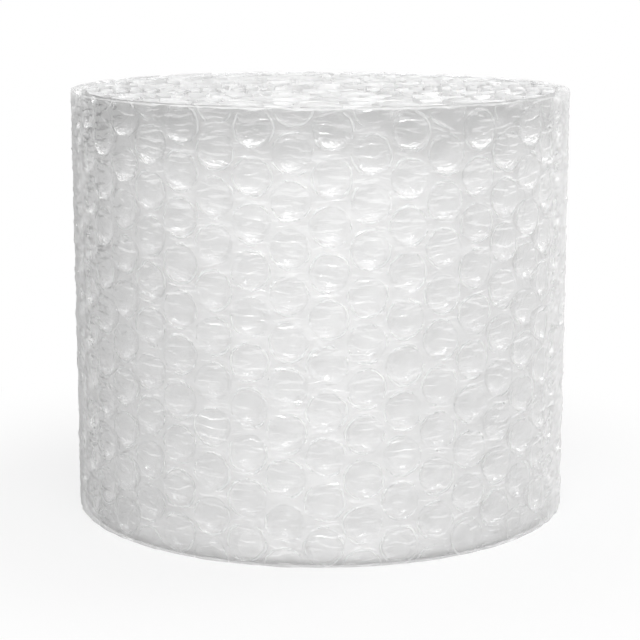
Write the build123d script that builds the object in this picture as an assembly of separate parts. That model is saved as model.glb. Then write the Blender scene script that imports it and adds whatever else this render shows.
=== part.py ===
from build123d import *
import math
import os

# Sizes in millimetres. The roll stands on its end, with its winding axis on Z and its base at
# Z = 0. The front is at -Y, and the sheet's loose end lies at the back, at +Y.

# The sheet is a flat backing film with round bubbles sealed to one side, in a hexagonal grid.
sheet_width = 305.0
bubble_diameter = 25.5
bubble_height = 9.4
crown_width = 18.0
seal_gap = 5.2
web_thickness = 1.2

# The backing film stands out a little over the air in each bubble.
film_bulge = 1.8
bulge_sides = 7

# The sheet is wound with its backing film outside, and folds between columns of bubbles.
roll_radius = 180.0
eye_radius = 20.0
turn_gap = 1.1

bubble_pitch = bubble_diameter + seal_gap
column_pitch = bubble_pitch * math.sqrt(3) / 2
rows = round(sheet_width / bubble_pitch)
turn_pitch = bubble_height + turn_gap
tail_radius = roll_radius + turn_pitch / 2
full_turn = 2 * math.pi


def polar(reach, angle, along=0.0):
    """A point at a distance from the axis and an angle from the back, then along the turn."""
    outwards = Vector(-math.sin(angle), math.cos(angle))
    forwards = Vector(-math.cos(angle), -math.sin(angle))
    return outwards * reach + forwards * along


class Fold:
    """A line up the sheet, between two columns of bubbles, where the sheet bends."""

    def __init__(self, angle, pressed_in=0.0):
        self.angle = angle
        self.radius = tail_radius - turn_pitch * angle / full_turn - pressed_in

    def point(self, depth=0.0):
        """Its place in the roll's section, at a depth under the outside of the film."""
        return polar(self.radius - depth, self.angle)


class Column:
    """One column of bubbles, on the flat of the sheet between two folds."""

    def __init__(self, number, start, end):
        self.start = start
        self.end = end
        self.is_cut = number % 2 == 1
        self.middle = (start.point() + end.point()) / 2

    def crown(self, side):
        """A corner of the bubbles' crowns, which stop short of the next turn."""
        angle = (self.start.angle + self.end.angle) / 2
        sagitta = (self.start.radius + self.end.radius) / 2 - self.middle.length
        depth = min(bubble_height, turn_pitch - sagitta - turn_gap / 2)
        return polar(self.middle.length - depth, angle, side * crown_width / 2)

    def face(self):
        """The place of the film's outer face, with X along the turn, Y up and Z outwards."""
        across = self.end.point() - self.start.point()
        outwards = across.cross(Vector(0, 0, 1))
        return Location(Plane(self.middle + Vector(0, 0, sheet_width / 2), across, outwards))


def wind():
    """The columns of the whole sheet, from its loose end to the eye of the roll."""
    # The loose end lies down against the turn under it.
    start = Fold(0.0, pressed_in=turn_pitch - web_thickness - turn_gap)
    columns = []
    while start.radius > eye_radius:
        end = Fold(start.angle + 2 * math.asin(column_pitch / 2 / start.radius))
        columns.append(Column(len(columns), start, end))
        start = end
    return columns


def sheet_section(columns):
    """The wound sheet seen end on, where its edges cut through every second column."""
    outside = [columns[0].start.point()]
    inside = [columns[0].start.point(web_thickness)]
    for column in columns:
        outside.append(column.end.point())
        if column.is_cut:
            inside.append(column.crown(-1))
            inside.append(column.crown(1))
        inside.append(column.end.point(web_thickness))
    return make_face(Polyline(*outside, *reversed(inside), close=True))


def bulge():
    """The film's low bulge over one bubble."""
    rim = RegularPolygon(bubble_diameter / 2, bulge_sides, rotation=90).face().outer_wire()
    return Solid.make_loft([rim, Vertex(0, 0, film_bulge)], ruled=True)


def column_of_bulges(count):
    """The bulges up one column, with what stands past the sheet's edges trimmed off."""
    sheet = Box(column_pitch, sheet_width, 3 * film_bulge)
    places = GridLocations(column_pitch, bubble_pitch, 1, count)
    return [place * bulge() & sheet for place in places]


def bubble_wrap_roll():
    """The whole wound sheet, which is one piece from its loose end to the eye."""
    columns = wind()
    whole_bubbles = column_of_bulges(rows)
    cut_bubbles = column_of_bulges(rows + 1)
    bulges = []
    for column in columns[1:]:
        if column.end.angle <= full_turn:
            pattern = cut_bubbles if column.is_cut else whole_bubbles
            bulges += [column.face() * shape for shape in pattern]
    print("columns", len(columns), "sheet length mm", round(len(columns) * column_pitch))
    return extrude(sheet_section(columns), sheet_width).fuse(*bulges)


os.makedirs("parts", exist_ok=True)
export_step(bubble_wrap_roll(), "parts/bubble_wrap_roll.step")
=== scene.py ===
import math
from random import Random

import bmesh
import bpy
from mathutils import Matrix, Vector, noise


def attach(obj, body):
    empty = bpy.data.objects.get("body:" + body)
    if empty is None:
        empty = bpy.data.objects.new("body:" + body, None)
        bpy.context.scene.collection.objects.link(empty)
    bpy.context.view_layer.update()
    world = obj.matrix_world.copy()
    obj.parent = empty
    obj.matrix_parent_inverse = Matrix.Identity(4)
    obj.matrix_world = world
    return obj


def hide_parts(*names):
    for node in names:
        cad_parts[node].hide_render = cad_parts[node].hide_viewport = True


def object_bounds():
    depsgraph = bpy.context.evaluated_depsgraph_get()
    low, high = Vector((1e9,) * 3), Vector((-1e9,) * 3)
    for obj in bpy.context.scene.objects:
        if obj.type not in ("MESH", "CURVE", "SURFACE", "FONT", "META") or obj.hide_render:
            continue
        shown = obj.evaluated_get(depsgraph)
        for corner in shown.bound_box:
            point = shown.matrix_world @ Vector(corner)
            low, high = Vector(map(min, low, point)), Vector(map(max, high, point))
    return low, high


# Sizes are in metres. The roll stands on its end with its winding axis on Z, its front at -Y
# and the sheet's loose end at the back, at +Y.
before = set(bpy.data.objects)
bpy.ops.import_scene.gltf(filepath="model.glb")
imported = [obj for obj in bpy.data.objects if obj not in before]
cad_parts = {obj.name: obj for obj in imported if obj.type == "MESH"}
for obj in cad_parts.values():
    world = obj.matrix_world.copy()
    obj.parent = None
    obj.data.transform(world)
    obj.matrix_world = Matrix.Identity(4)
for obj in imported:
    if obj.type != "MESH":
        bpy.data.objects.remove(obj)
cad_low, cad_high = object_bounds()

# The sheet, as wide as the frame's roll is high
SHEET_WIDTH = cad_high.z - cad_low.z
BUBBLE_RADIUS = 0.0132
BUBBLE_HEIGHT = 0.0088
SEAL_GAP = 0.0043
BUBBLE_PITCH = 2 * BUBBLE_RADIUS + SEAL_GAP
COLUMN_PITCH = 0.0259

# The winding, backing film outside and bubbles inside
TURN_PITCH = 0.0105
ROLL_RADIUS = 0.180
TAIL_RADIUS = ROLL_RADIUS + TURN_PITCH / 2
TAIL_LIFT = 0.0023
EYE_RADIUS = 0.020
FULL_TURN = 2 * math.pi

# The grid of bubbles leans a little on the sheet, and one bubble is near the front's middle.
LATTICE_LEAN = math.radians(1.2)
FRONT_BUBBLE_ASIDE = 0.0541
FRONT_BUBBLE_HEIGHT = 0.1361

# How far the taut film stands out over the air in a bubble, how far it sways, and how far in
# it lies
FILM_BULGE = 0.0008
FILM_SLACK = 0.00035
FILM_INSET = 0.0004

# The film's creases, which run round the roll and wander up and down
CREASE_DEPTH = 0.0007
CREASE_LENGTH = 0.028
CREASE_WIDTH = 0.0065
CREASE_WANDER = 0.006

# The share of the creases' noise that stands up as a ridge, and how far apart in it two
# columns of bubbles are
CREASE_SHARE = 0.26
COLUMN_STEP = 1.7

# The noises on the sheet, each with its length along the sheet, its width up it and its layer
WANDER = (0.05, 0.05, 7.0)
CREASE_PATCHES = (0.035, 0.014, 30.0)
SLACK = (0.06, 0.02, 60.0)
SLOW_EDGE = (0.09, 1.0, 90.0)
QUICK_EDGE = (0.012, 1.0, 95.0)

# The second turn splays out at its foot, to rest close under the outer turn's edge.
SPLAY_HEIGHT = 0.030
SPLAY_DEPTH = 0.007

# How far in from the roll's ends the edges of the deeper turns may lie
SECOND_TURN_DRAW = 0.001
INNER_TURNS_DRAW = 0.0025

# How far apart the points of each stretch of film are, along the sheet and up it
OUTER_STEPS = (0.0034, 0.0011)
SECOND_STEPS = (0.0027, 0.0024)
INNER_STEPS = (0.005, 0.018)

# A formed bubble's profile, as shares of its radius and of its height
CUP_PROFILE = ((1.0, 0.0), (0.96, 0.18), (0.87, 0.42), (0.72, 0.68), (0.48, 0.91))
CUP_SIDES = 16

# How deep a bubble's dents and folds are, how far its crown is pushed aside, and how far in
# its wall starts from the film
DENT_DEPTH = 0.0011
FOLD_DEPTH = 0.0008
CROWN_PUSH = 0.0012
WALL_START = 0.0006

# The white that milky film scatters
MILK = (0.95, 0.95, 0.95, 1)

# The camera, with its lens in millimetres and its tilt down in degrees
CAMERA_PLACE = (-0.0026, -1.397, 0.408)
CAMERA_TILT = 11.15
LENS = 107.6
SENSOR_WIDTH = 36.0

# Each lamp's name, place, size and power, and whether the film's gloss mirrors it
LAMPS = (
    ("front_window", (-0.1, -2.3, 0.8), (2.2, 1.2), 29.8, False),
    ("back_window", (-0.3, 2.3, 0.9), (2.2, 1.2), 13, False),
    ("softbox", (0.1, -0.7, 1.5), (0.65, 0.5), 10, True),
    ("right_softbox", (0.85, 0.25, 1.35), (0.5, 0.4), 5, True),
    ("left_softbox", (-0.75, 0.15, 1.4), (0.35, 0.3), 0.3, True),
    ("back_strip", (1.4, 0.75, 0.5), (0.8, 1.0), 11, False),
)
ROLL_MIDDLE = (0, 0, 0.15)

# How bright the white studio's light is on surfaces, how bright it is in their gloss overhead
# and how much more so near the zenith, and which way it is dark
STUDIO_FILL = 0.16
OVERHEAD_GLOW = 2.2
ZENITH_GLOW = 1.75 * OVERHEAD_GLOW
DARK_WAY = (-0.6, 0.8, 0.0)

# How far apart shader nodes are drawn
NODE_STEP = 200


# Winding


def smooth(share):
    """A smooth step from 0 to 1."""
    share = min(1.0, max(0.0, share))
    return share * share * (3 - 2 * share)


def run_at(angle):
    """The length of sheet from its loose end to an angle round the roll."""
    return TAIL_RADIUS * angle - TURN_PITCH * angle**2 / (2 * FULL_TURN)


def angle_at(run):
    """The angle round the roll, from the back, after a length of sheet."""
    left = max(0.0, TAIL_RADIUS**2 - 2 * TURN_PITCH * run / FULL_TURN)
    return FULL_TURN * (TAIL_RADIUS - math.sqrt(left)) / TURN_PITCH


def wind(point):
    """The place on the roll of a point of the flat sheet, given as run, height and outwards."""
    angle = angle_at(point.x)
    reach = TAIL_RADIUS - TURN_PITCH * angle / FULL_TURN + point.z
    if point.x < COLUMN_PITCH:
        loose = 1 - smooth(point.x / COLUMN_PITCH)
        reach -= (TURN_PITCH - TAIL_LIFT) * loose
    return Vector((-reach * math.sin(angle), reach * math.cos(angle), point.y))


# The grid of bubbles

ACROSS = Vector((math.cos(LATTICE_LEAN), -math.sin(LATTICE_LEAN)))
UP = Vector((math.sin(LATTICE_LEAN), math.cos(LATTICE_LEAN)))
ANCHOR = Vector((run_at(math.pi) + FRONT_BUBBLE_ASIDE, FRONT_BUBBLE_HEIGHT))
traits = {}


def bubble_centre(column, row):
    """A bubble's place on the flat sheet."""
    up = row + (column % 2) / 2
    return ANCHOR + ACROSS * (column * COLUMN_PITCH) + UP * (up * BUBBLE_PITCH)


def nearest_bubble(run, height):
    """The column and row of the bubble nearest to a place on the flat sheet."""
    offset = Vector((run, height)) - ANCHOR
    column = round(offset.dot(ACROSS) / COLUMN_PITCH)
    row = round(offset.dot(UP) / BUBBLE_PITCH - (column % 2) / 2)
    return column, row


def bubble_traits(column, row):
    """How full a bubble is, which way its crown is pushed, and the seed of its dents."""
    key = (column, row)
    if key not in traits:
        draw = Random(column * 977 + row * 131)
        fill = draw.uniform(0.5, 1.0)
        push = Vector((draw.uniform(-1, 1), draw.uniform(-1, 1)))
        traits[key] = (fill, push, draw.uniform(0, 100))
    return traits[key]


def bubbles_between(start, end, least_in, most_in):
    """The bubbles between two runs of the sheet, whose middles lie so far in from its edges."""
    first, last = (nearest_bubble(run, SHEET_WIDTH / 2)[0] for run in (start, end))
    rows_across = math.ceil(SHEET_WIDTH / BUBBLE_PITCH)
    rows = rows_across + math.ceil(end * math.sin(LATTICE_LEAN) / BUBBLE_PITCH)
    places = []
    for column in range(first - 1, last + 2):
        for row in range(-rows, rows + 1):
            centre = bubble_centre(column, row)
            inside = start + BUBBLE_RADIUS < centre.x < end - BUBBLE_RADIUS
            from_edge = min(centre.y, SHEET_WIDTH - centre.y)
            if inside and least_in <= from_edge < most_in:
                places.append((column, row))
    return places


# The film's surface


def ripple(run, height, kind):
    """Noise from -1 to 1 on the flat sheet, of a kind given as length, width and layer."""
    length, width, layer = kind
    return noise.noise(Vector((run / length, height / width, layer)))


def creases(run, height, column, aside):
    """The height of the creases that run round the roll, over each column of bubbles."""
    wander = CREASE_WANDER * ripple(run, height, WANDER)
    lines = (CREASE_LENGTH, CREASE_WIDTH, COLUMN_STEP * column)
    line = ripple(run, height + wander, lines)
    ridge = max(0.0, 1 - abs(line) / CREASE_SHARE)
    shown = smooth(0.55 + 2.0 * ripple(run, height, CREASE_PATCHES))
    over_column = 1 - 0.85 * smooth((aside / COLUMN_PITCH - 0.28) / 0.22)
    return CREASE_DEPTH * smooth(ridge) * shown * over_column


def film_relief(run, height):
    """How far the film stands out of its plain wound surface."""
    column, row = nearest_bubble(run, height)
    fill = bubble_traits(column, row)[0]
    offset = Vector((run, height)) - bubble_centre(column, row)
    away = offset.length / BUBBLE_RADIUS
    bulge = FILM_BULGE * fill * max(0.0, 1 - away**2)
    slack = FILM_SLACK * ripple(run, height, SLACK)
    aside = abs(offset.dot(ACROSS))
    return bulge + creases(run, height, column, aside) + slack - FILM_INSET


def drawn_in(run, height, most):
    """A height on the sheet, drawn in near the edges, where the inner turns lie unevenly."""
    near_edge = abs(2 * height / SHEET_WIDTH - 1) ** 8
    sway = 0.5 + 0.5 * ripple(run, 0.0, SLOW_EDGE)
    sway += 0.35 * ripple(run, 0.0, QUICK_EDGE)
    pull = most * max(0.0, sway) * near_edge
    return height + pull if height < SHEET_WIDTH / 2 else height - pull


def mark_sheet(bm):
    """Keeps each corner's place on the flat sheet as the UV map, in metres."""
    uv = bm.loops.layers.uv.new("sheet")
    for face in bm.faces:
        for loop in face.loops:
            loop[uv].uv = loop.vert.co.xy


def new_piece(name, mesh, material):
    """A finished piece of the roll, which rides on it and stands for its solid."""
    mesh.materials.append(material)
    mesh.shade_smooth()
    piece = bpy.data.objects.new(name, mesh)
    bpy.context.scene.collection.objects.link(piece)
    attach(piece, "root")
    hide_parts("bubble_wrap_roll")
    return piece


def wound(bm, name, material):
    """Winds a flat sheet's mesh on the roll and makes it a piece."""
    mark_sheet(bm)
    for vert in bm.verts:
        vert.co = wind(vert.co)
    mesh = bpy.data.meshes.new(name)
    bm.to_mesh(mesh)
    bm.free()
    return new_piece(name, mesh, material)


def flat_film(start, end, across, up):
    """A flat stretch of film between two runs of the sheet, as a grid."""
    bm = bmesh.new()
    bmesh.ops.create_grid(bm, x_segments=across, y_segments=up, size=0.5)
    bmesh.ops.translate(bm, verts=bm.verts, vec=(0.5, 0.5, 0))
    bmesh.ops.scale(bm, verts=bm.verts, vec=(end - start, SHEET_WIDTH, 1))
    bmesh.ops.translate(bm, verts=bm.verts, vec=(start, 0, 0))
    return bm


def film_piece(name, start, end, steps, material, draw=0.0, splay=0.0):
    """A wound stretch of film, which may be drawn in at its edges and splay at its foot."""
    across = round((end - start) / steps[0])
    up = round(SHEET_WIDTH / steps[1])
    bm = flat_film(start, end, across, up)
    for vert in bm.verts:
        run, height = vert.co.xy
        vert.co.z = film_relief(run, height) + splay * smooth(1 - height / SPLAY_HEIGHT)
        if draw:
            vert.co.y = drawn_in(run, height, draw)
    return wound(bm, name, material)


# The formed bubbles


def cup_template():
    """One round bubble, mouth up, with its mouth's centre at the origin."""
    bm = bmesh.new()
    bmesh.ops.create_circle(bm, segments=CUP_SIDES, radius=1.0, cap_ends=False)
    edges = bm.edges[:]
    for outer, inner in zip(CUP_PROFILE, CUP_PROFILE[1:]):
        wall = bmesh.ops.extrude_edge_only(bm, edges=edges)["geom"]
        verts = [item for item in wall if isinstance(item, bmesh.types.BMVert)]
        edges = [item for item in wall if isinstance(item, bmesh.types.BMEdge)]
        ratio = inner[0] / outer[0]
        bmesh.ops.scale(bm, verts=verts, vec=(ratio, ratio, 1))
        bmesh.ops.translate(bm, verts=verts, vec=(0, 0, outer[1] - inner[1]))
    pole = bmesh.ops.extrude_edge_only(bm, edges=edges)["geom"]
    verts = [item for item in pole if isinstance(item, bmesh.types.BMVert)]
    bmesh.ops.pointmerge(bm, verts=verts, merge_co=(0, 0, -1))
    bmesh.ops.recalc_face_normals(bm, faces=bm.faces)
    mesh = bpy.data.meshes.new("cup_template")
    bm.to_mesh(mesh)
    bm.free()
    return mesh


def add_cup(bm, template, column, row):
    """Adds one bubble to a flat sheet's mesh, dented in its own way."""
    centre = bubble_centre(column, row)
    fill, push, seed = bubble_traits(column, row)
    first = len(bm.verts)
    bm.from_mesh(template)
    bm.verts.ensure_lookup_table()
    for vert in bm.verts[first:]:
        share = -vert.co.z
        dent = noise.noise(vert.co * 1.7 + Vector((seed, 0, 0)))
        fold = noise.noise(Vector((vert.co.x * 1.2, vert.co.y * 4.0, seed)))
        depth = BUBBLE_HEIGHT * share * (0.86 + 0.14 * fill)
        depth += share * (DENT_DEPTH * dent + FOLD_DEPTH * fold)
        aside = push * (CROWN_PUSH * share)
        wide = BUBBLE_RADIUS * (0.95 + 0.06 * fill + 0.05 * dent)
        tall = BUBBLE_RADIUS * (0.99 - 0.02 * fill + 0.05 * fold)
        vert.co.x = centre.x + vert.co.x * wide + aside.x
        vert.co.y = centre.y + vert.co.y * tall + aside.y
        on_film = share < 0.01
        base = film_relief(vert.co.x, vert.co.y) if on_film else -WALL_START
        vert.co.z = base - min(depth, BUBBLE_HEIGHT)


def cups_piece(name, places, material):
    """Bubbles at some places of the sheet, cut by its edges and wound on the roll."""
    template = cup_template()
    bm = bmesh.new()
    for column, row in places:
        add_cup(bm, template, column, row)
    for edge, outwards in ((0.0, -1), (SHEET_WIDTH, 1)):
        everything = bm.verts[:] + bm.edges[:] + bm.faces[:]
        bmesh.ops.bisect_plane(
            bm, geom=everything, plane_co=(0, edge, 0), plane_no=(0, outwards, 0), clear_outer=True
        )
    bpy.data.meshes.remove(template)
    return wound(bm, name, material)


# Shader nodes


def feed(tree, socket, value):
    """Links a socket to another node's result, or sets it to a plain value."""
    if isinstance(value, bpy.types.NodeSocket):
        tree.links.new(value, socket)
    else:
        socket.default_value = value


def add_node(tree, kind, **sockets):
    """A node to the right of those before it, with its inputs linked or set by socket name."""
    node = tree.nodes.new(kind)
    node.location = (NODE_STEP * len(tree.nodes), 0)
    for name, value in sockets.items():
        feed(tree, node.inputs[name.replace("_", " ")], value)
    return node


def add_shader(tree, kind, **sockets):
    """The result of a shader node."""
    return add_node(tree, kind, **sockets).outputs[0]


def mix_shaders(tree, share, first, second):
    """Two shaders mixed, by the share of the second."""
    node = add_node(tree, "ShaderNodeMixShader")
    for socket, value in zip(node.inputs, (share, first, second)):
        feed(tree, socket, value)
    return node.outputs[0]


def math_node(tree, operation, *values):
    """The result of a Math node."""
    node = add_node(tree, "ShaderNodeMath")
    node.operation = operation
    for socket, value in zip(node.inputs, values):
        feed(tree, socket, value)
    return node.outputs[0]


def joined(tree, operation, *values):
    """Some values joined one after another, by multiplying them or taking the greater."""
    total = values[0]
    for value in values[1:]:
        total = math_node(tree, operation, total, value)
    return total


def vector_node(tree, operation, *values):
    """A Vector Math node."""
    node = add_node(tree, "ShaderNodeVectorMath")
    node.operation = operation
    for socket, value in zip(node.inputs, values):
        feed(tree, socket, value)
    return node


def fade(tree, value, span, ends=(0.0, 1.0)):
    """A smooth change from one of two ends to the other, as a value crosses a span."""
    node = add_node(
        tree, "ShaderNodeMapRange", Value=value, From_Min=span[0], From_Max=span[1],
        To_Min=ends[0], To_Max=ends[1],
    )
    node.interpolation_type = "SMOOTHSTEP"
    return node.outputs["Result"]


def grey(tree, shade):
    """A grey of a shade that varies."""
    node = add_node(tree, "ShaderNodeCombineColor", Red=shade, Green=shade, Blue=shade)
    return node.outputs["Color"]


def heights(tree, *parts):
    """The sum of some heights, each with how high it is in metres, as a bump."""
    total = 0.0
    for part, high in parts:
        total = math_node(tree, "MULTIPLY_ADD", part, high, total)
    bump = add_node(tree, "ShaderNodeBump", Height=total, Strength=1.0, Distance=1.0)
    return bump.outputs["Normal"]


def empty_material(name):
    """A material with nothing in its node tree but the output."""
    material = bpy.data.materials.new(name)
    material.use_nodes = True
    tree = material.node_tree
    tree.nodes.clear()
    return material, tree, add_node(tree, "ShaderNodeOutputMaterial")


# Patterns on the sheet


def sheet_place(tree, wander):
    """Where a point lies on the flat sheet, moved a little so that no line is quite true."""
    sheet = add_node(tree, "ShaderNodeUVMap")
    sheet.uv_map = "sheet"
    sway = add_node(tree, "ShaderNodeTexNoise", Vector=sheet.outputs["UV"], Scale=70.0)
    both_ways = (2 * wander, 2 * wander, 0)
    back = (-wander, -wander, 0)
    off = vector_node(tree, "MULTIPLY_ADD", sway.outputs["Color"], both_ways, back)
    moved = vector_node(tree, "ADD", sheet.outputs["UV"], off.outputs["Vector"])
    return moved.outputs["Vector"]


def on_lattice(tree, sheet):
    """A place on the flat sheet, from one bubble and along the lattice's own directions."""
    lattice = add_node(
        tree, "ShaderNodeMapping", Vector=sheet, Location=(ANCHOR.x, ANCHOR.y, 0),
        Rotation=(0, 0, -LATTICE_LEAN),
    )
    lattice.vector_type = "TEXTURE"
    return lattice.outputs["Vector"]


def column_of(tree, lattice):
    """The number of the column of bubbles at a point, and how near the column's middle it is."""
    split = add_node(tree, "ShaderNodeSeparateXYZ", Vector=lattice)
    half = COLUMN_PITCH / 2
    aside = math_node(tree, "WRAP", split.outputs["X"], half, -half)
    middle = math_node(tree, "SUBTRACT", split.outputs["X"], aside)
    number = math_node(tree, "DIVIDE", middle, COLUMN_PITCH)
    off = math_node(tree, "ABSOLUTE", aside)
    return number, fade(tree, off, (0.56 * half, half), (1.0, 0.35))


def from_bubble(tree, lattice):
    """How far a point is from the middle of the nearest bubble, in metres."""
    past_sheet = 0.1
    high = (COLUMN_PITCH, BUBBLE_PITCH / 2, past_sheet)
    low = tuple(-size for size in high)
    lengths = []
    for shift in ((0, 0, 0), (COLUMN_PITCH, BUBBLE_PITCH / 2, 0)):
        moved = vector_node(tree, "ADD", lattice, shift)
        cell = vector_node(tree, "WRAP", moved.outputs["Vector"], high, low)
        lengths.append(vector_node(tree, "LENGTH", cell.outputs["Vector"]).outputs["Value"])
    return math_node(tree, "MINIMUM", *lengths)


def seal_line(tree, distance, width):
    """1 on the line where a bubble is sealed to the film, and 0 off it."""
    off = math_node(tree, "SUBTRACT", distance, BUBBLE_RADIUS)
    off = math_node(tree, "ABSOLUTE", off)
    return fade(tree, off, (0.0, width), (1.0, 0.0))


def upper_edge(tree, height, depth, most):
    """Most on the sheet's upper edge, which the cut leaves white, and 0 below it."""
    near = SHEET_WIDTH - depth
    return fade(tree, height, (near, near + depth / 2), (0.0, most))


def sheet_noise(tree, sheet, scale, detail):
    """Noise with its own scale along the sheet and up it."""
    stretch = add_node(tree, "ShaderNodeMapping", Vector=sheet, Scale=(*scale, 1))
    return add_node(
        tree, "ShaderNodeTexNoise", Vector=stretch.outputs["Vector"], Scale=1.0, Detail=detail
    )


def film_ridges(tree, sheet, length, height, width, column=0.0, least=0.44):
    """Fine ridges that run along the sheet in patches, as a height from 0 to 1."""
    grain = sheet_noise(tree, sheet, scale=(1 / length, 1 / height), detail=1.5)
    grain.noise_dimensions = "4D"
    feed(tree, grain.inputs["W"], column)
    patch = sheet_noise(tree, sheet, scale=(0.7 / length, 0.4 / height), detail=1.0)
    off = math_node(tree, "SUBTRACT", grain.outputs["Fac"], 0.5)
    off = math_node(tree, "ABSOLUTE", off)
    ridge = fade(tree, off, (0.0, width), (1.0, 0.0))
    amount = fade(tree, patch.outputs["Fac"], (least, least + 0.18))
    return math_node(tree, "MULTIPLY", ridge, amount)


# Materials


def thin_film(tree, output, haze, normal, roughness, gloss, tint=(1, 1, 1, 1)):
    """A thin film: see-through, with some milk in it, under a gloss that rises edge on."""
    clear = add_shader(tree, "ShaderNodeBsdfTransparent", Color=tint)
    milk = add_shader(tree, "ShaderNodeBsdfDiffuse", Color=MILK, Normal=normal)
    glow = add_shader(tree, "ShaderNodeBsdfTranslucent", Color=MILK)
    mirror = add_shader(tree, "ShaderNodeBsdfGlossy", Roughness=roughness, Normal=normal)
    milky = mix_shaders(tree, 0.5, milk, glow)
    body = mix_shaders(tree, haze, clear, milky)
    facing = add_node(tree, "ShaderNodeLayerWeight", Blend=0.5, Normal=normal)
    share = fade(tree, facing.outputs["Facing"], (0.0, 0.5), gloss)
    surface = mix_shaders(tree, share, body, mirror)
    tree.links.new(surface, output.inputs["Surface"])


def outer_film_material():
    """The backing film of the outer turn, with the seal lines of its bubbles and its creases."""
    material, tree, output = empty_material("outer_film")
    sheet = sheet_place(tree, wander=0.002)
    height = add_node(tree, "ShaderNodeSeparateXYZ", Vector=sheet).outputs["Y"]
    lattice = on_lattice(tree, sheet)
    distance = from_bubble(tree, lattice)
    column, inside = column_of(tree, lattice)

    # Seal lines that are worn away in places, and ridges over each column's middle
    worn = add_node(tree, "ShaderNodeTexNoise", Vector=sheet, Scale=60.0)
    shown = fade(tree, worn.outputs["Fac"], (0.40, 0.64), (0.1, 0.9))
    seal = math_node(tree, "MULTIPLY", seal_line(tree, distance, width=0.0015), shown)
    ridges = film_ridges(
        tree, sheet, length=0.024, height=0.0070, width=0.13, column=column, least=0.31
    )
    ridges = math_node(tree, "MULTIPLY", ridges, inside)
    normal = heights(tree, (seal, 0.0002), (ridges, 0.0006))

    # Less clear at the sheet's two edges, as painted shade at its foot and under its rim, and a
    # little less clear in each bubble's middle and between bubbles
    foot = fade(tree, height, (0.0, 0.007), (0.62, 1.0))
    rim_shade = fade(tree, height, (0.268, SHEET_WIDTH), (1.0, 0.91))
    disc = fade(tree, distance, (0.64 * BUBBLE_RADIUS, 0.80 * BUBBLE_RADIUS), (0.965, 1.0))
    web = fade(tree, distance, (BUBBLE_RADIUS, 1.15 * BUBBLE_RADIUS), (1.0, 0.97))
    tint = grey(tree, joined(tree, "MULTIPLY", foot, rim_shade, disc, web))

    # Milk in the seal lines, at the sheet's two edges, and where the film is seen edge on
    film = math_node(tree, "MULTIPLY_ADD", seal, 0.42, 0.12)
    edge = upper_edge(tree, height, depth=0.0016, most=0.7)
    curl = fade(tree, height, (0.0015, 0.004), (0.25, 0.0))
    steep = add_node(tree, "ShaderNodeLayerWeight", Blend=0.5)
    limb = fade(tree, steep.outputs["Facing"], (0.48, 0.88), (0.0, 0.8))
    haze = joined(tree, "MAXIMUM", film, edge, curl, limb)
    thin_film(tree, output, haze, normal, roughness=0.15, gloss=(0.10, 0.22), tint=tint)
    return material


def formed_film_material():
    """The bubbles' formed film, which is thin, clear and puckered."""
    material, tree, output = empty_material("formed_film")
    sheet = sheet_place(tree, wander=0.0008)
    height = add_node(tree, "ShaderNodeSeparateXYZ", Vector=sheet).outputs["Y"]
    ridges = film_ridges(tree, sheet, length=0.006, height=0.0035, width=0.10)
    normal = heights(tree, (ridges, 0.00025))
    edge = upper_edge(tree, height, depth=0.003, most=0.2)
    haze = math_node(tree, "MAXIMUM", edge, 0.03)
    thin_film(tree, output, haze, normal, roughness=0.11, gloss=(0.03, 0.20))
    return material


def deep_film_material(start):
    """The deeper turns, milky with many layers of film, from their start on the sheet."""
    material, tree, output = empty_material("deep_film")
    sheet = sheet_place(tree, wander=0.001)
    place = add_node(tree, "ShaderNodeSeparateXYZ", Vector=sheet)
    distance = from_bubble(tree, on_lattice(tree, sheet))
    seal = seal_line(tree, distance, width=0.0012)
    ridges = film_ridges(tree, sheet, length=0.024, height=0.009, width=0.12)
    normal = heights(tree, (seal, 0.0003), (ridges, 0.0005))

    # Painted shade: under the roll's rim the outside is darker, apart from its first stretch.
    rim_shade_level = fade(tree, place.outputs["X"], (start, start + 0.12), (0.95, 0.58))
    side = add_node(tree, "ShaderNodeNewGeometry")
    rim_shade_level = math_node(tree, "MAXIMUM", rim_shade_level, side.outputs["Backfacing"])
    rim_shade = fade(tree, place.outputs["Y"], (0.245, SHEET_WIDTH), (1.0, rim_shade_level))
    # Painted shade towards the foot as well
    foot = fade(tree, place.outputs["Y"], (0.0, 0.045), (0.74, 1.0))
    disc = fade(tree, distance, (0.75 * BUBBLE_RADIUS, BUBBLE_RADIUS), (0.97, 1.0))
    cloud = sheet_noise(tree, sheet, scale=(28, 75), detail=2.0)
    cloudy = fade(tree, cloud.outputs["Fac"], (0.35, 0.65), (0.88, 0.95))
    pale = joined(tree, "MULTIPLY", rim_shade, foot, disc, cloudy)
    film = add_shader(
        tree, "ShaderNodeBsdfPrincipled", Base_Color=grey(tree, pale), Roughness=0.6,
        Coat_Weight=1.0, Coat_Roughness=0.2, Coat_IOR=1.8, Coat_Normal=normal,
    )
    tree.links.new(film, output.inputs["Surface"])
    return material


def end_film_material():
    """The film's edges and cut bubbles at the roll's ends, which let light through."""
    material, tree, output = empty_material("end_film")
    film = add_shader(
        tree, "ShaderNodeBsdfPrincipled", Base_Color=(0.87, 0.87, 0.87, 1), Roughness=0.4
    )
    glow = add_shader(tree, "ShaderNodeBsdfTranslucent", Color=(0.85, 0.85, 0.85, 1))
    mixed = mix_shaders(tree, 0.4, film, glow)
    tree.links.new(mixed, output.inputs["Surface"])
    return material


# The scene round the object


def make_camera():
    """The camera, a little higher than the roll and well back, as in the photograph."""
    data = bpy.data.cameras.new("camera")
    data.sensor_width = SENSOR_WIDTH
    data.lens = LENS
    camera = bpy.data.objects.new("camera", data)
    bpy.context.scene.collection.objects.link(camera)
    camera.location = CAMERA_PLACE
    camera.rotation_euler = (math.radians(90 - CAMERA_TILT), 0, 0)
    bpy.context.scene.camera = camera


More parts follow.
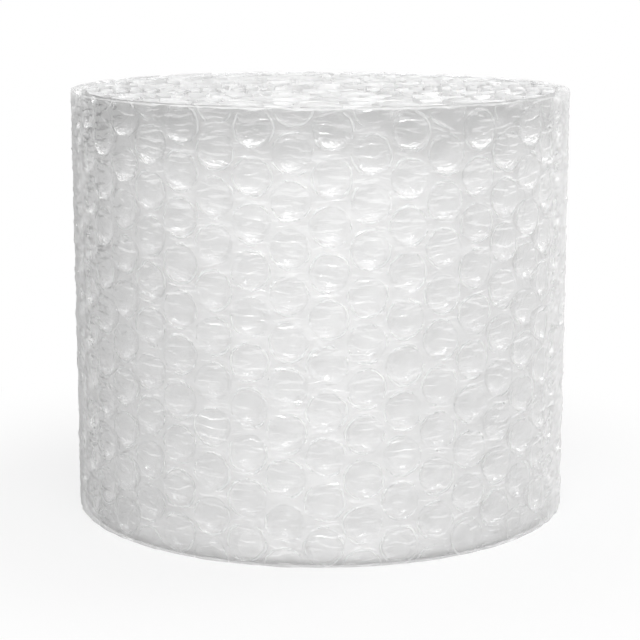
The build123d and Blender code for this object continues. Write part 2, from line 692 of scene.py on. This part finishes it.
def area_lamp(name, place, size, power, mirrored):
    """A soft rectangular lamp at a place, aimed at the roll, which the gloss may mirror."""
    data = bpy.data.lights.new(name, "AREA")
    data.shape = "RECTANGLE"
    data.size, data.size_y = size
    data.energy = power
    lamp = bpy.data.objects.new(name, data)
    bpy.context.scene.collection.objects.link(lamp)
    lamp.location = place
    aim = Vector(ROLL_MIDDLE) - Vector(place)
    lamp.rotation_euler = aim.to_track_quat("-Z", "Y").to_euler()
    lamp.visible_glossy = mirrored


def where_seen(tree, path):
    """1 where a camera, mirror or glass ray looks, and 0 where a surface gathers light."""
    kinds = ("Is Camera Ray", "Is Glossy Ray", "Is Transmission Ray")
    return joined(tree, "MAXIMUM", *(path.outputs[kind] for kind in kinds))


def make_world():
    """A white studio, which lights the object more softly than it looks."""
    world = bpy.data.worlds.new("studio")
    bpy.context.scene.world = world
    world.use_nodes = True
    tree = world.node_tree
    tree.nodes.clear()
    around = add_node(tree, "ShaderNodeTexCoord").outputs["Generated"]
    height = add_node(tree, "ShaderNodeSeparateXYZ", Vector=around).outputs["Z"]
    overhead = fade(tree, height, (0.0, 0.26), (1.0, OVERHEAD_GLOW))
    zenith = fade(tree, height, (0.70, 0.88), (0.0, ZENITH_GLOW))
    overhead = math_node(tree, "ADD", overhead, zenith)
    dark_way = vector_node(tree, "DOT_PRODUCT", around, DARK_WAY)
    shade = fade(tree, dark_way.outputs["Value"], (0.6, 0.95), (1.0, 0.1))
    soft = math_node(tree, "MULTIPLY", shade, STUDIO_FILL)
    bright = math_node(tree, "MULTIPLY", shade, overhead)
    fill = add_shader(tree, "ShaderNodeBackground", Color=(1, 1, 1, 1), Strength=soft)
    white = add_shader(tree, "ShaderNodeBackground", Color=(1, 1, 1, 1), Strength=1.0)
    glow = add_shader(tree, "ShaderNodeBackground", Color=(1, 1, 1, 1), Strength=bright)
    path = add_node(tree, "ShaderNodeLightPath")
    mixed = mix_shaders(tree, where_seen(tree, path), fill, white)
    mixed = mix_shaders(tree, path.outputs["Is Glossy Ray"], mixed, glow)
    output = add_node(tree, "ShaderNodeOutputWorld")
    tree.links.new(mixed, output.inputs["Surface"])


def make_floor():
    """A pale floor that goes to white away from the roll and keeps its soft shadow."""
    bm = bmesh.new()
    bmesh.ops.create_grid(bm, x_segments=1, y_segments=1, size=20.0)
    mesh = bpy.data.meshes.new("floor")
    bm.to_mesh(mesh)
    bm.free()
    material, tree, output = empty_material("floor")
    place = add_node(tree, "ShaderNodeTexCoord").outputs["Object"]
    away = vector_node(tree, "LENGTH", place).outputs["Value"]
    blend = fade(tree, away, (0.15, 0.45), (0.8, 1.0))
    path = add_node(tree, "ShaderNodeLightPath")
    share = math_node(tree, "MULTIPLY", blend, where_seen(tree, path))
    pale = add_shader(tree, "ShaderNodeBsdfDiffuse", Color=(0.7, 0.7, 0.7, 1))
    white = add_shader(tree, "ShaderNodeEmission", Color=(1, 1, 1, 1), Strength=1.0)
    mixed = mix_shaders(tree, share, pale, white)
    tree.links.new(mixed, output.inputs["Surface"])
    mesh.materials.append(material)
    floor = bpy.data.objects.new("floor", mesh)
    bpy.context.scene.collection.objects.link(floor)


make_camera()
make_world()
make_floor()
for lamp in LAMPS:
    area_lamp(*lamp)

# The roll

one_turn = run_at(FULL_TURN)
two_turns = run_at(2 * FULL_TURN)
whole_sheet = run_at(FULL_TURN * (TAIL_RADIUS - EYE_RADIUS) / TURN_PITCH)

outer_film = outer_film_material()
formed_film = formed_film_material()
deep_film = deep_film_material(one_turn)
end_film = end_film_material()

film_piece("outer_film", 0.0, one_turn, OUTER_STEPS, outer_film)
film_piece(
    "second_turn", one_turn, two_turns, SECOND_STEPS, deep_film,
    draw=SECOND_TURN_DRAW, splay=SPLAY_DEPTH,
)
film_piece(
    "inner_turns", two_turns, whole_sheet, INNER_STEPS, end_film, draw=INNER_TURNS_DRAW
)

# The outer turn has every bubble whose middle is well in from the sheet's edges. The deeper
# turns have those near the two ends, some with their middle cut off.
well_in = 0.35 * BUBBLE_RADIUS
cut_off = -0.85 * BUBBLE_RADIUS
end_rows = 1.2 * BUBBLE_PITCH
outer_bubbles = bubbles_between(0.0, one_turn, well_in, SHEET_WIDTH)
end_bubbles = bubbles_between(one_turn, whole_sheet, cut_off, end_rows)
cups_piece("outer_bubbles", outer_bubbles, formed_film)
cups_piece("end_bubbles", end_bubbles, end_film)

bpy.context.scene.view_settings.view_transform = "Standard"
